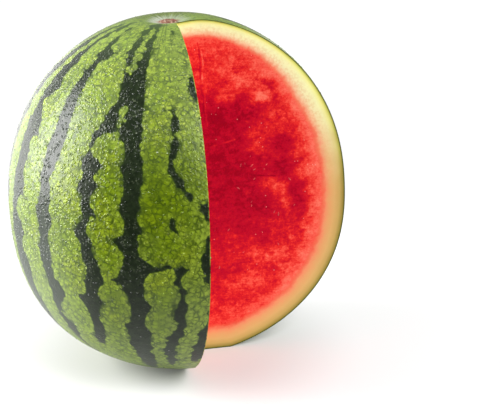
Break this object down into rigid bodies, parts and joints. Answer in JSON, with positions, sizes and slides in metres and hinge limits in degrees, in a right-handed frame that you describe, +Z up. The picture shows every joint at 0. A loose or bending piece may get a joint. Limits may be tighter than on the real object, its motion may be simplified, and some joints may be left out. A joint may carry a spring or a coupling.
{
  "type": "watermelon",
  "caption": "Round striped watermelon standing on its end, with a quarter wedge cut out from top to bottom to show the red flesh.",
  "frame": {"origin": "middle of the flat spot that the fruit stands on", "axes": "+Z up along the fruit from its lower end to its stem end; the quarter that is gone lay towards +X and -Y, so one cut face looks along +X and the other along -Y"},
  "size_m": [0.2413, 0.2388, 0.2455],
  "materials": {
    "watermelon": "smooth, waxy and wet skin; moist cut faces"
  },
  "bodies": {
    "root": {"watermelon": "watermelon"}
  },
  "joints": []
}
